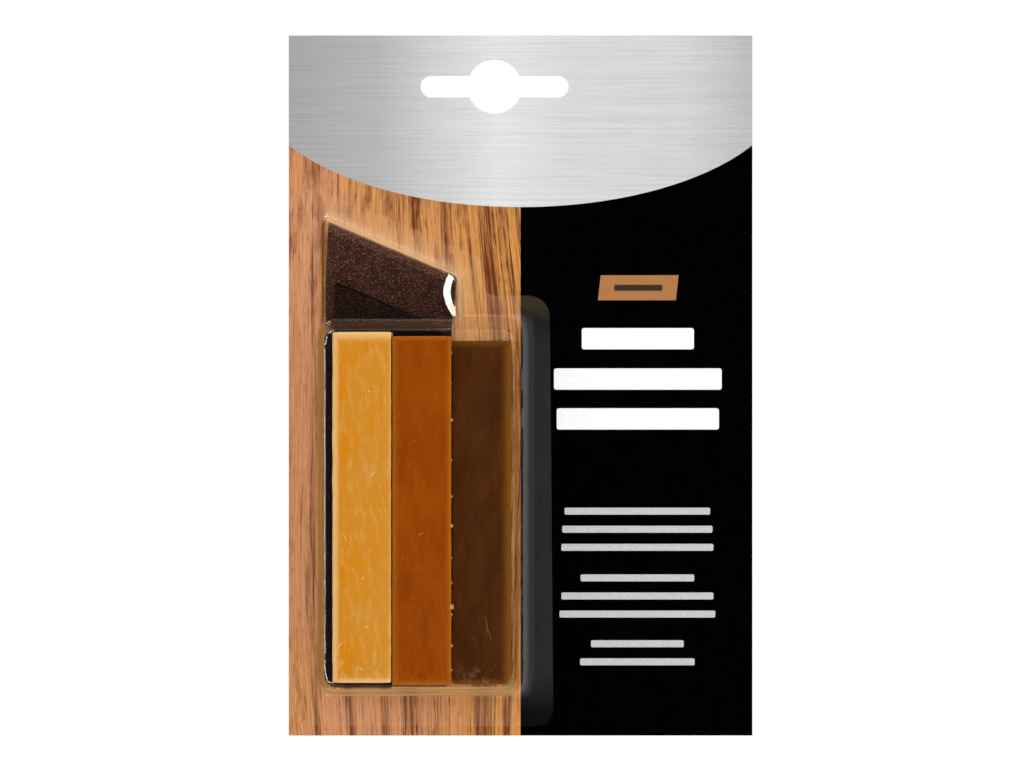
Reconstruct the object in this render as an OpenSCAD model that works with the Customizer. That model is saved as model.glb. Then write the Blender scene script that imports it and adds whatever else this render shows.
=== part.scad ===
// Hang card with a clear formed blister that holds three wax sticks and a flat scraper.
// The card stands upright in the XZ plane with its printed front towards -Y.
// Origin: centre of the hang slot's round hole, on the card's back face. Millimetres.

/* [Card] */
// Width of the card
card_w = 100; // [90:1:130]
// Height of the card
card_h = 151; // [145:1:190]
// From the hang hole's centre to the card's left edge
hang_to_left = 44.4; // [44.4:0.1:60]
// From the hang hole's centre to the card's top edge
hang_to_top = 11; // [9:0.5:16]
// Thickness of the board
board_t = 0.4; // [0.3:0.05:1]
// Thickness of each facing sheet
facing_t = 0.1; // [0.05:0.01:0.2]

/* [Hang slot] */
// Length of the hang slot
slot_w = 32; // [26:0.5:40]
// Height of the hang slot
slot_h = 4.8; // [4:0.1:7]
// Diameter of the round hole in the slot's middle
slot_hole_d = 11.8; // [9:0.1:14]

/* [Printed front] */
// Height of the header at the card's middle
header_h = 37; // [34:0.5:38]
// Half height of the ellipse that the header's lower edge follows
header_curve_ry = 27.3; // [15:0.1:30]
// Share of the ellipse's half length that lies over each side of the card
header_curve_share = 0.859; // [0.5:0.001:0.95]
// Width of the wood area, left of the black one
wood_w = 50; // [42:0.5:60]
// Length of the tag
tag_w = 16.8; // [10:0.1:24]
// Height of the tag
tag_h = 5.4; // [3:0.1:8]
// Slant of the tag's ends
tag_slant = 0.6; // [0:0.1:2]
// How far the tag lies right of the black area's middle
tag_offset = 0.4; // [0:0.1:2]
// From the header's lowest point down to the tag
tag_drop = 14.7; // [5:0.1:20]

/* [Wax sticks] */
// Width of each stick
stick_w = 12.6; // [8:0.1:13]
// Thickness of each stick
stick_t = 11.6; // [8:0.1:16]
// Radius of the long edges
stick_edge_r = 1.1; // [0.4:0.1:3]
// Length of the light stick
light_l = 74.4; // [60:0.1:76]
// Length of the medium stick
medium_l = 74.2; // [60:0.1:75]
// Length of the dark stick
dark_l = 73.2; // [60:0.1:75]
// How much higher the light stick lies than the medium one
light_lift = 0.7; // [0:0.1:1.2]
// Gap between neighbouring sticks
stick_gap = 0.15; // [0.1:0.05:0.5]
// Room left of the light stick, to the pocket's front edge
stick_room_left = 1.2; // [1:0.05:2]
// Room right of the dark stick
stick_room_right = 0.7; // [0.6:0.05:2]
// Room above the highest stick
stick_room_top = 0.6; // [0.45:0.05:3]
// Room below the medium and the dark stick
stick_room_bottom = 0.4; // [0.35:0.05:1]

/* [Scraper] */
// Width of the scraper's body
scraper_w = 27.5; // [24:0.1:28]
// How far the blade's higher corner stands above the stick pocket
blade_reach = 23; // [21:0.1:26]
// Thickness of the scraper
scraper_t = 2.2; // [1.5:0.1:3]
// How much lower the blade's right corner lies than its left one
blade_drop = 11.8; // [8:0.1:14]
// How far the blade's corners lean to the right of the body
blade_lean = 1.1; // [0:0.1:1.5]
// From the body's straight sides up to the blade's higher corner
scraper_head_l = 21; // [17:0.5:24]
// Width of the sharpened strip along the blade
blade_bevel_w = 1.8; // [1:0.1:4]
// Thickness left at the blade's edge
blade_edge_t = 0.7; // [0.4:0.1:1.2]
// Corner radius at the scraper's foot
scraper_foot_r = 2.5; // [1:0.5:6]
// Depth of the recess in the scraper's front
recess_depth = 0.5; // [0.3:0.1:0.8]
// Width of the rim round the recess
rim_w = 1.9; // [1.5:0.1:4]
// Distance of the recess behind the blade
recess_setback = 11.5; // [8:0.1:16]

/* [Blister] */
// Thickness of the clear sheet
sheet_t = 0.35; // [0.25:0.05:0.5]
// Thickness of the heat-seal lacquer
seal_t = 0.05; // [0.03:0.01:0.1]
// Free depth between the light and medium sticks and the bend round the pocket's front
pocket_headroom = 0.1; // [0.05:0.05:2]
// Widening of the pocket from its front to its foot, on the left
flare_left = 2.7; // [2:0.1:3]
// Widening on the right
flare_right = 3.9; // [3.4:0.1:5]
// Widening at each end
flare_end = 3; // [2:0.1:3.5]
// Corner radius at the pocket's front
pocket_front_r = 2.6; // [2:0.1:5]
// Corner radius at the pocket's foot
pocket_foot_r = 4.3; // [2:0.1:6]
// Radius of the bend between the pocket's front and its walls
pocket_bend_r = 0.6; // [0.4:0.1:2]
// Free depth in front of the scraper's head
head_headroom = 2.4; // [1:0.1:5]
// Gap between the scraper's head and the head pocket's foot
head_gap = 0.9; // [0.6:0.1:1.5]
// Widening of the head pocket from its front to its foot
head_flare = 0.75; // [0.4:0.05:1]
// Corner radius of the head pocket
head_r = 1.2; // [0.8:0.1:2]
// From the card's left edge to the flange, at the pack's bottom
flange_margin_left = 0.8; // [0.6:0.1:3]
// From the card's bottom edge to the flange
flange_margin_bottom = 2; // [1:0.1:5]
// Flange left of the stick pocket's foot, at the pack's bottom
flange_left = 5.3; // [4:0.1:6]
// Narrowing of that margin over the flange's height
flange_left_taper = 1.8; // [0:0.1:3]
// Flange right of the stick pocket's foot, at its top
flange_right = 3.6; // [3:0.1:8]
// Widening of that margin towards the bottom
flange_right_taper = 0.8; // [0:0.1:2]
// Flange below the stick pocket's foot
flange_bottom = 6.4; // [4:0.1:8]
// Flange above the stick pocket's foot
flange_top = 4.4; // [3:0.1:8]
// Flange right of the head pocket's foot
flange_head_right = 4.6; // [3:0.1:6]
// Flange above the head pocket's sloping foot, measured upwards
flange_head_top = 5.2; // [4:0.1:8]
// Corner radius at the flange's top left
flange_r_top_left = 2.5; // [1:0.1:5]
// Corner radius where the sloping edge turns down
flange_r_shoulder = 2.9; // [1:0.1:5]
// Radius of the hollow corner above the stick pocket
flange_r_hollow = 2.7; // [1:0.1:3.5]
// Corner radius at the top right
flange_r_top_right = 4.7; // [1:0.1:6]
// Corner radius at the bottom right
flange_r_bottom_right = 3.6; // [1:0.1:6]
// Corner radius at the bottom left
flange_r_bottom_left = 3.9; // [1:0.1:6]

/* [Scraper's place] */
// How far the scraper's left side lies outside the pocket's front face
scraper_x = 1; // [0.8:0.1:1.3]
// How far the scraper's foot lies below the pocket's front face
scraper_z = 0.9; // [0.5:0.1:1.2]

/* [Hidden] */
$fn = 48;
overrun = 1;
arc_steps = 8;
curve_steps = 20;
bend_share = 0.3;
fillet_share = 0.49;
head_sink_share = 0.25;

card_left = -hang_to_left;
card_right = card_left + card_w;
card_top = hang_to_top;
card_bottom = card_top - card_h;
split_x = card_left + wood_w;
black_w = card_w - wood_w;
y_board = facing_t;
y_facing = y_board + board_t;
y_front = y_facing + facing_t;
y_flange = y_front + seal_t;
header_low = card_top - header_h;

sticks_w = 3 * stick_w + 2 * stick_gap;
sticks_l = max(light_l + light_lift, medium_l, dark_l);
pocket_w = stick_room_left + sticks_w + stick_room_right;
pocket_l = stick_room_bottom + sticks_l + stick_room_top;
flange_foot_left = card_left + flange_margin_left;
flange_bottom_z = card_bottom + flange_margin_bottom;
foot_left = flange_foot_left + flange_left;
foot_bottom = flange_bottom_z + flange_bottom;
pocket_left = foot_left + flare_left;
pocket_right = pocket_left + pocket_w;
pocket_bottom = foot_bottom + flare_end;
pocket_top = pocket_bottom + pocket_l;
foot_right = pocket_right + flare_right;
foot_top = pocket_top + flare_end;
contents_t = scraper_t + stick_t;
pocket_depth = contents_t + pocket_headroom + pocket_bend_r - seal_t + sheet_t;

light_x = pocket_left + stick_room_left;
medium_x = light_x + stick_w + stick_gap;
dark_x = medium_x + stick_w + stick_gap;
medium_z = pocket_bottom + stick_room_bottom;
light_z = medium_z + light_lift;
y_on_scraper = y_front + scraper_t;

scraper_left = pocket_left - scraper_x;
scraper_right = scraper_left + scraper_w;
scraper_foot = pocket_bottom - scraper_z;
blade_top = pocket_top + blade_reach;
shoulder_z = blade_top - scraper_head_l;
blade_slope = blade_drop / scraper_w;
blade_cos = 1 / sqrt(1 + blade_slope * blade_slope);

head_left = scraper_left - head_gap;
head_right = scraper_right + blade_lean + head_gap;
head_outer = scraper_t + head_headroom + sheet_t;
head_sink = pocket_l * head_sink_share;
head_bottom = pocket_top - head_sink;
head_rise = blade_top + head_gap / blade_cos + blade_slope * (blade_lean + head_gap);

// Height of the head pocket's sloping foot above the point x
function head_slope_z(x) = head_rise - blade_slope * (x - head_left);

flange_top_left = flange_foot_left + flange_left_taper;
flange_top_z = foot_top + flange_top;
flange_top_right = foot_right + flange_right;
flange_foot_right = flange_top_right + flange_right_taper;
flange_step_x = head_right + flange_head_right;

// Corner i of outline p as a row of points, rounded to radius ask or to what its shorter side allows
function unit(v) = v / norm(v);
function corner_arc(p, i, ask) =
    let (n = len(p))
    let (c = p[i])
    let (before = p[(i + n - 1) % n] - c)
    let (after = p[(i + 1) % n] - c)
    let (u = unit(before))
    let (v = unit(after))
    let (half = acos(u * v) / 2)
    let (r = min(ask, min(norm(before), norm(after)) * fillet_share * tan(half)))
    let (centre = c + unit(u + v) * r / sin(half))
    let (s = c + u * r / tan(half) - centre)
    let (e = c + v * r / tan(half) - centre)
    let (turn = 180 - 2 * half)
    [for (k = [0 : arc_steps])
        centre + (s * sin(turn * (1 - k / arc_steps)) + e * sin(turn * k / arc_steps)) / sin(turn)];
function rounded(p, r) = [for (i = [0 : len(p) - 1]) each corner_arc(p, i, r[i])];
function box_points(x0, x1, z0, z1) = [[x0, z0], [x0, z1], [x1, z1], [x1, z0]];

// A flat piece whose outline lies in the XZ plane, from depth y towards the front
module plate(y, t) {
    translate([0, -y, 0])
        rotate([90, 0, 0])
            linear_extrude(height = t)
                children();
}

module slot_outline() {
    translate([-slot_w / 2 + slot_h / 2, -slot_h / 2])
        square([slot_w - slot_h, slot_h]);
    for (side = [-1, 1])
        translate([side * (slot_w - slot_h) / 2, 0])
            circle(d = slot_h);
    circle(d = slot_hole_d);
}

module card_outline() {
    difference() {
        translate([card_left, card_bottom])
            square([card_w, card_h]);
        slot_outline();
    }
}

// Point of the header's lower edge over a side of width w, at share u from the split to the card's edge
function curve_point(u, w) =
    [split_x + u * w, header_low + header_curve_ry * (1 - sqrt(1 - pow(u * header_curve_share, 2)))];

// Everything above the header's curved lower edge
module above_curve() {
    polygon(concat(
        [for (k = [curve_steps : -1 : 1]) let (p = curve_point(k / curve_steps, wood_w))
            [2 * split_x - p.x, p.y]],
        [for (k = [0 : curve_steps]) curve_point(k / curve_steps, black_w)],
        [[card_right, card_top], [card_left, card_top]]));
}

module tag_outline() {
    translate([split_x + (black_w - tag_w - tag_slant) / 2 + tag_offset, header_low - tag_drop - tag_h])
        polygon([[0, 0], [tag_w, 0], [tag_w + tag_slant, tag_h], [tag_slant, tag_h]]);
}

module below_header(x0, w) {
    difference() {
        translate([x0, card_bottom])
            square([w, card_h - header_h + header_curve_ry]);
        above_curve();
    }
}

module flange_outline() {
    polygon(rounded(
        [[flange_foot_left, flange_bottom_z],
            [flange_top_left, head_slope_z(flange_top_left) + flange_head_top],
            [flange_step_x, head_slope_z(flange_step_x) + flange_head_top],
            [flange_step_x, flange_top_z],
            [flange_top_right, flange_top_z],
            [flange_foot_right, flange_bottom_z]],
        [flange_r_bottom_left, flange_r_top_left, flange_r_shoulder, flange_r_hollow,
            flange_r_top_right, flange_r_bottom_right]));
}

// Outline of the stick pocket, widened by share f of its flare and drawn in by inset
module stick_pocket_outline(f, inset) {
    r = pocket_front_r + (pocket_foot_r - pocket_front_r) * f - inset;
    polygon(rounded(
        box_points(pocket_left - flare_left * f + inset, pocket_right + flare_right * f - inset,
            pocket_bottom - flare_end * f + inset, pocket_top + flare_end * f - inset),
        [r, r, r, r]));
}

// Outline of the head pocket, drawn in by inset
module head_pocket_outline(inset) {
    x0 = head_left + inset;
    x1 = head_right - inset;
    dz = inset / blade_cos;
    polygon(rounded(
        [[x0, head_bottom], [x0, head_slope_z(x0) - dz], [x1, head_slope_z(x1) - dz], [x1, head_bottom]],
        [head_r, head_r, head_r, head_r]));
}

// A thin slice for the pockets' stacks of outlines
module slice(y) {
    plate(y, seal_t)
        children();
}

// Solid of the stick pocket; wall is 0 for the outside and the sheet for the inside
module stick_pocket(wall, y0) {
    deep = y_flange + pocket_depth - wall;
    wall_end = deep - pocket_bend_r;
    f_end = pocket_bend_r / pocket_depth;
    hull() {
        slice(y0)
            stick_pocket_outline(1, wall);
        slice(wall_end - seal_t)
            stick_pocket_outline(f_end, wall);
        slice(deep - pocket_bend_r * bend_share - seal_t)
            stick_pocket_outline(0, wall + pocket_bend_r * bend_share);
        slice(deep - seal_t)
            stick_pocket_outline(0, wall + pocket_bend_r);
    }
}

// Solid of the head pocket
module head_pocket(wall, y0) {
    deep = y_flange + head_outer - wall;
    bend = head_r / 2;
    hull() {
        slice(y0)
            head_pocket_outline(wall);
        slice(deep - bend - seal_t)
            head_pocket_outline(wall + head_flare * (1 - bend / head_outer));
        slice(deep - seal_t)
            head_pocket_outline(wall + head_flare + bend);
    }
}

module pocket_mouths() {
    stick_pocket_outline(1, sheet_t);
    head_pocket_outline(sheet_t);
}

module card_board() {
    color("#B9B4A6")
        plate(y_board, board_t)
            card_outline();
}

module header_print() {
    color("#B8B8BA")
        plate(y_facing, facing_t)
            intersection() {
                card_outline();
                above_curve();
            }
}

module wood_print() {
    color("#C08A52")
        plate(y_facing, facing_t)
            below_header(card_left, wood_w);
}

module black_print() {
    color("#0A0A0B")
        plate(y_facing, facing_t)
            difference() {
                below_header(split_x, black_w);
                tag_outline();
            }
}

module tag_print() {
    color("#B8793F")
        plate(y_facing, facing_t)
            tag_outline();
}

module back_facing() {
    color("#ECEAE4")
        plate(0, facing_t)
            card_outline();
}

module seal_band() {
    color("#D8D8D2")
        plate(y_front, seal_t)
            difference() {
                flange_outline();
                pocket_mouths();
            }
}

module blister_shell() {
    color("#DCE8EE", 0.35)
        difference() {
            union() {
                plate(y_flange, sheet_t)
                    flange_outline();
                stick_pocket(0, y_flange);
                head_pocket(0, y_flange);
            }
            stick_pocket(sheet_t, y_flange - overrun);
            head_pocket(sheet_t, y_flange - overrun);
        }
}

// A wax stick with rounded long edges, standing on z, its back on depth y
module stick(x, y, z, l) {
    r = stick_edge_r;
    translate([x, -y - stick_t, z]) {
        translate([r, 0, 0])
            cube([stick_w - 2 * r, stick_t, l]);
        translate([0, r, 0])
            cube([stick_w, stick_t - 2 * r, l]);
        for (cx = [r, stick_w - r])
            for (cy = [r, stick_t - r])
                translate([cx, cy, 0])
                    cylinder(r = r, h = l);
    }
}

module light_stick() {
    color("#D9962B")
        stick(light_x, y_on_scraper, light_z, light_l);
}

module medium_stick() {
    color("#964A08")
        stick(medium_x, y_on_scraper, medium_z, medium_l);
}

module dark_stick() {
    color("#42220D")
        stick(dark_x, y_front, medium_z, dark_l);
}

// Height of the line that lies back behind the blade at the point x
function blade_z(x, back) = blade_top - blade_slope * (x - scraper_left - blade_lean) - back / blade_cos;

module scraper_outline() {
    polygon(rounded(
        [[scraper_left, scraper_foot],
            [scraper_left, shoulder_z],
            [scraper_left + blade_lean, blade_z(scraper_left + blade_lean, 0)],
            [scraper_right + blade_lean, blade_z(scraper_right + blade_lean, 0)],
            [scraper_right, shoulder_z],
            [scraper_right, scraper_foot]],
        [scraper_foot_r, scraper_head_l, blade_edge_t, blade_edge_t, scraper_head_l / 4, scraper_foot_r]));
}

module recess_outline() {
    lean = blade_lean * recess_setback / scraper_head_l;
    x0 = scraper_left + rim_w;
    x1 = scraper_right - rim_w;
    top_x = x0 + lean / 2;
    polygon(rounded(
        [[x0, scraper_foot + rim_w],
            [x0, shoulder_z],
            [top_x, blade_z(top_x, recess_setback)],
            [x1, blade_z(x1, recess_setback)],
            [x1, scraper_foot + rim_w]],
        [scraper_foot_r - rim_w / 2, rim_w, rim_w / 2, rim_w / 2, scraper_foot_r - rim_w / 2]));
}

// What is ground off along the blade: a wedge that runs the blade's whole width
module blade_grind() {
    low = blade_edge_t;
    drop = scraper_t - low;
    translate([scraper_left + blade_lean, -y_front, blade_top])
        rotate([0, atan(blade_slope), 0])
            translate([-overrun - scraper_w, 0, 0])
                rotate([90, 0, 90])
                    linear_extrude(height = 3 * scraper_w)
                        polygon([[-scraper_t, -blade_bevel_w],
                            [-scraper_t - overrun, -blade_bevel_w],
                            [-scraper_t - overrun, overrun],
                            [-low, overrun],
                            [-low, 0]]);
}

module scraper() {
    color("#2B1A14")
        difference() {
            plate(y_front, scraper_t)
                scraper_outline();
            plate(y_front + scraper_t - recess_depth, recess_depth + overrun)
                recess_outline();
            blade_grind();
        }
}

card_board();
header_print();
wood_print();
black_print();
tag_print();
back_facing();
seal_band();
blister_shell();
light_stick();
medium_stick();
dark_stick();
scraper();
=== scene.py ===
import math

import bmesh
import bpy
from mathutils import Matrix, Vector, noise


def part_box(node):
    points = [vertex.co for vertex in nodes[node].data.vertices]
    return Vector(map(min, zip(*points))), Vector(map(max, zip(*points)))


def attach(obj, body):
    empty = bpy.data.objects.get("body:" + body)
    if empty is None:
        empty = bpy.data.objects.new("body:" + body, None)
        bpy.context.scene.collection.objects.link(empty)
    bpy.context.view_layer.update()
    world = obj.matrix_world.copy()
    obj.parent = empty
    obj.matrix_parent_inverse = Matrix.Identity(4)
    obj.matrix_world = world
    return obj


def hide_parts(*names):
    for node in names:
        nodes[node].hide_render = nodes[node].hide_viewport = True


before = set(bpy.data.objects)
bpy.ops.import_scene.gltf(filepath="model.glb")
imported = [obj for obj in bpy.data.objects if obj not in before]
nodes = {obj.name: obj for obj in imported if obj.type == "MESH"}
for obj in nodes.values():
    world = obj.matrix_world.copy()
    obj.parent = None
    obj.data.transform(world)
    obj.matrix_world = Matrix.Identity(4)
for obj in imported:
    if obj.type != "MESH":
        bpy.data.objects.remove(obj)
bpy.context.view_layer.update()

# Lengths are worked out in millimetres and turned to metres when a mesh is made.
MM = 0.001


def box_mm(node):
    """The lowest and the highest corner of a CAD node, in millimetres."""
    low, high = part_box(node)
    return low / MM, high / MM


card_low, card_high = box_mm("card_board")
front_y = box_mm("header_print")[0].y
wood_low, wood_high = box_mm("wood_print")
black_low, black_high = box_mm("black_print")
tag_low, tag_high = box_mm("tag_print")
light_low, light_high = box_mm("light_stick")
medium_low, medium_high = box_mm("medium_stick")
dark_low, dark_high = box_mm("dark_stick")
scraper_low, scraper_high = box_mm("scraper")
seal_low, seal_high = box_mm("seal_band")
blister_low, blister_high = box_mm("blister_shell")

# The photographed blade stands a little higher than in the CAD, and two of the sticks end a little higher
BLADE_LIFT, FOOT_LIFT = 0.45, 0.2
medium_low.z += FOOT_LIFT
dark_low.z += FOOT_LIFT

# The scraper's blade is cut slanting: it falls 11.8 mm over 27.5 mm to a tip that juts out past the handle.
# BLADE_X and BLADE_TOP are a point of its edge near the upper end
BLADE_X, BLADE_TOP = scraper_low.x + 1.1, scraper_high.z + BLADE_LIFT
BLADE_FALL, BLADE_TIP = 11.8, 1.1
BLADE_SLOPE = BLADE_FALL / 27.5
BLADE_COS = 1 / math.hypot(1, BLADE_SLOPE)
BLADE_BEVEL, BLADE_THICKNESS = 1.8, 0.7
# How far below the upper end its sides turn into the handle's, and how far its left side leans in
SHOULDER_LEFT, SHOULDER_RIGHT, LEFT_LEAN = 17.5, 21.4, 0.86
# The recess in its front: how far below the blade it starts, its margins at the left, the right and the foot,
# its depth, its sloping rim and its corners' radius
RECESS_BELOW, RECESS_LEFT, RECESS_RIGHT, RECESS_FOOT = 11.2, 1.8, 1.9, 1.9
RECESS_DEPTH, RECESS_RIM, RECESS_R = 0.5, 0.45, 1.1
# Radius of its lower corners, and how far its back stays clear of the back's place in the CAD
SCRAPER_FOOT_R, BACK_GAP = 2.5, 0.02

# The clear sheet, where its flange's front lies and how far the two pockets stand out from that
SHEET = 0.34
FLANGE_Y = -blister_high.y + 0.35
POCKET_RISE = -blister_low.y - FLANGE_Y
HEAD_RISE = -scraper_low.y + 2.75 - FLANGE_Y
# The stick pocket's flat front, its corner radius, and how both grow towards its foot
POCKET_LEFT, POCKET_RIGHT = light_low.x - 1.65, dark_high.x + 0.7
POCKET_LOW, POCKET_HIGH = medium_low.z - 0.12, light_high.z + 0.6
CORNER_R, CORNER_GROWTH = 2.8, 1.5
SPREAD = 2.7, 3.0
# Width of each wall and radius of its foot; radius of the bend at its front edge
WALLS = {"left": (2.2, 0.15), "right": (1.0, 4.0), "top": (3.0, 0.7), "bottom": (3.35, 0.7)}
BEND_R = 0.5
# The head pocket follows the scraper's blade, with a wider foot below the blade's line
HEAD_LEFT, HEAD_RIGHT = scraper_low.x - 0.15, scraper_high.x + 0.15
HEAD_TOP = BLADE_TOP + 0.1
HEAD_LOW = POCKET_HIGH - 4
HEAD_WALL, HEAD_CORNER_R, HEAD_BEND_R = 0.6, 1.2, 0.6
HEAD_FOOT_R, HEAD_FOOT_GROWTH = 0.12, 1.8
# A low flat-topped dome at the head pocket's right, cut off by its wall
DOME_X, DOME_Z, DOME_R, DOME_RISE, DOME_WALL, DOME_BEND_R = -3.2, -44.4, 6.2, 0.98, 1.6, 0.7
# Where the pockets meet, the crease between them is this soft, and less so where they are low
CREASE, CREASE_FADE = 0.8, 0.5
# The printed bars' thickness
INK = 0.04
# The flange: how far its edge stands above the blade, right of the scraper and above the stick pocket
EDGE_OVER_BLADE, EDGE_BESIDE_HEAD, EDGE_OVER_POCKET = 6.35, 5.5, 7.4


def blade_line(x, top):
    """Height at x of a line along the blade, when its upper end is at the given height."""
    return top - BLADE_SLOPE * (x - BLADE_X)


# Shading helpers

def linear(code):
    """An sRGB hex colour as the linear RGBA that the shaders take."""
    parts = [int(code[i:i + 2], 16) / 255 for i in (1, 3, 5)]
    return [c / 12.92 if c <= 0.04045 else ((c + 0.055) / 1.055) ** 2.4 for c in parts] + [1.0]


def add(tree, kind, inputs=None, stops=None, **settings):
    """Adds a shader node with its settings, its values or links, and its ramp's stops."""
    node = tree.nodes.new("ShaderNode" + kind)
    for name, value in settings.items():
        setattr(node, name, value)
    for key, value in (inputs or {}).items():
        if isinstance(value, bpy.types.Node):
            value = next(s for s in value.outputs if s.enabled)
        if isinstance(value, bpy.types.NodeSocket):
            tree.links.new(value, node.inputs[key])
        else:
            node.inputs[key].default_value = value
    if stops:
        points = node.color_ramp.elements
        points.remove(points[1])
        for place, code in stops:
            point = points[0] if place == stops[0][0] else points.new(place)
            point.position = place
            point.color = linear(code)
    return node


def new_material(name, **constants):
    """A material with one Principled shader: its tree, that shader and the object's place in mm."""
    material = bpy.data.materials.new(name)
    material.use_nodes = True
    tree = material.node_tree
    tree.nodes.clear()
    shader = add(tree, "BsdfPrincipled", {k.replace("_", " "): v for k, v in constants.items()})
    add(tree, "OutputMaterial", {"Surface": shader})
    place = add(tree, "Mapping", {"Vector": add(tree, "TexCoord").outputs["Object"],
                                  "Scale": (1 / MM, 1 / MM, 1 / MM)})
    return material, tree, shader, place


def show(tree, surface):
    """Puts another shader at the material's output."""
    output = next(n for n in tree.nodes if n.type == "OUTPUT_MATERIAL")
    tree.links.new(surface.outputs[0], output.inputs["Surface"])


def dress(obj, material):
    """Gives an object one material."""
    obj.data.materials.clear()
    obj.data.materials.append(material)


# Materials

def brushed_print():
    """Header: a print of brushed steel, satin. Fine level streaks, a broad bright sheen near the middle."""
    material, tree, shader, place = new_material("brushed_steel_print", Roughness=0.42)
    across = add(tree, "MapRange", {
        "Value": add(tree, "SeparateXYZ", {"Vector": place}).outputs["X"],
        "From Min": card_low.x, "From Max": card_high.x})
    sheen = add(tree, "ValToRGB", {"Fac": across}, stops=[
        (0, "#A6A6A6"), (0.19, "#B7B7B7"), (0.3, "#D0D0D0"), (0.45, "#E8E8E9"),
        (0.6, "#DCDCDE"), (0.85, "#D7D7D7"), (1, "#BDBDBF")])
    # Brush lines 0.2 mm apart and some 20 mm long, coarser than on steel so that they show
    lines = add(tree, "TexNoise", {
        "Vector": add(tree, "Mapping", {"Vector": place, "Scale": (0.05, 1, 4.6)}),
        "Scale": 1, "Detail": 5, "Roughness": 0.75})
    tone = add(tree, "ValToRGB", {"Fac": lines}, stops=[(0.32, "#E2E2E3"), (0.68, "#FFFFFF")])
    colour = add(tree, "Mix", {0: 1, 6: sheen, 7: tone}, data_type="RGBA", blend_type="MULTIPLY")
    tree.links.new(colour.outputs[2], shader.inputs["Base Color"])
    bump = add(tree, "Bump", {"Height": lines, "Strength": 0.06, "Distance": 0.0002})
    tree.links.new(bump.outputs[0], shader.inputs["Normal"])
    return material


def oak_print():
    """Left side: a print of oiled oak, satin. Straight upright grain with broad darker bands, ragged brown
    streaks, fine fibres and short pores."""
    material, tree, shader, place = new_material("oiled_oak_print", Roughness=0.5, Specular_IOR_Level=0.06)
    spots = add(tree, "SeparateXYZ", {"Vector": place})
    # The grain sways by up to 2.2 mm to either side over some 80 mm of its length
    lean = add(tree, "TexNoise", {
        "Vector": add(tree, "Mapping", {"Vector": place, "Scale": (0.03, 1, 0.012)}),
        "Scale": 1, "Detail": 0})
    shift = add(tree, "MapRange", {"Value": lean, "From Min": 0.25, "From Max": 0.75,
                                   "To Min": -2.2, "To Max": 2.2}, clamp=False)
    grain_x = add(tree, "Math", {0: spots.outputs["X"], 1: shift}, operation="ADD")
    grain = add(tree, "CombineXYZ", {"X": grain_x, "Z": spots.outputs["Z"]})
    # Bands 4 mm wide; streaks 0.9 mm wide and 30 mm long; strokes 0.4 mm wide and 16 mm long; fibres 0.25 mm
    # wide; pores 0.3 mm wide and 3 mm long
    bands, streaks, strokes, fibres, pores = [
        add(tree, "TexNoise", {
            "Vector": add(tree, "Mapping", {"Vector": grain, "Scale": (wide, 1, long)}),
            "Scale": 1, "Detail": detail, "Roughness": 0.65})
        for wide, long, detail in (
            (0.24, 0.006, 1), (1.1, 0.035, 4), (2.3, 0.06, 3), (4.2, 0.07, 2), (3.4, 0.32, 2))]
    across = add(tree, "MapRange", {
        "Value": spots.outputs["X"], "From Min": wood_low.x, "From Max": wood_high.x})
    # Streaks and strokes crowd into the bands and stand closer at the right
    ragged = add(tree, "Math", {0: bands, 1: 0.3, 2: streaks}, operation="MULTIPLY_ADD")
    ragged = add(tree, "Math", {0: across, 1: 0.04, 2: ragged}, operation="MULTIPLY_ADD")
    crowd = add(tree, "Math", {0: strokes, 1: 0.6, 2: bands}, operation="MULTIPLY_ADD")
    crowd = add(tree, "Math", {0: across, 1: 0.09, 2: crowd}, operation="MULTIPLY_ADD")
    # Darker smudges 5 mm wide and 15 mm long, fewer of them away from the header
    few_z, many_z = -60, -28
    smudges = add(tree, "TexNoise", {
        "Vector": add(tree, "Mapping", {"Vector": grain, "Location": (3, 0, 0), "Scale": (0.22, 1, 0.07)}),
        "Scale": 1, "Detail": 3, "Roughness": 0.6})
    height = add(tree, "MapRange", {
        "Value": spots.outputs["Z"], "From Min": few_z, "From Max": many_z, "To Min": -0.12, "To Max": 0})
    smudges = add(tree, "Math", {0: smudges, 1: height}, operation="ADD")
    smudges = add(tree, "Math", {0: across, 1: -0.08, 2: smudges}, operation="MULTIPLY_ADD")
    # Each layer darkens the print where its noise passes from the first number to the second, by at most the
    # third
    depth = 0
    for value, start, stop, most in (
            (smudges, 0.45, 0.62, 0.6), (ragged, 0.73, 0.80, 0.55), (crowd, 0.875, 1.015, 0.6),
            (fibres, 0.37, 0.68, 0.42), (pores, 0.56, 0.70, 0.45)):
        part = add(tree, "MapRange", {"Value": value, "From Min": start, "From Max": stop, "To Max": most})
        depth = add(tree, "Math", {0: depth, 1: part}, operation="ADD", use_clamp=True)
    # A pinker tone in patches some 20 mm wide and 50 mm long, more of it at the left
    patches = add(tree, "TexNoise", {
        "Vector": add(tree, "Mapping", {"Vector": place, "Scale": (0.05, 1, 0.02)}),
        "Scale": 1, "Detail": 1})
    share = add(tree, "Math", {0: across, 1: -0.3, 2: patches}, operation="MULTIPLY_ADD")
    share = add(tree, "MapRange", {"Value": share, "From Min": 0.2, "From Max": 0.5})
    pale = add(tree, "Mix", {0: share, 6: linear("#E09C52"), 7: linear("#D9986A")}, data_type="RGBA")
    colour = add(tree, "Mix", {0: depth, 6: pale.outputs[2], 7: linear("#6B3419")}, data_type="RGBA")
    tree.links.new(colour.outputs[2], shader.inputs["Base Color"])
    bump = add(tree, "Bump", {"Height": fibres, "Strength": 0.04, "Distance": 0.0002})
    tree.links.new(bump.outputs[0], shader.inputs["Normal"])
    return material


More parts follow.
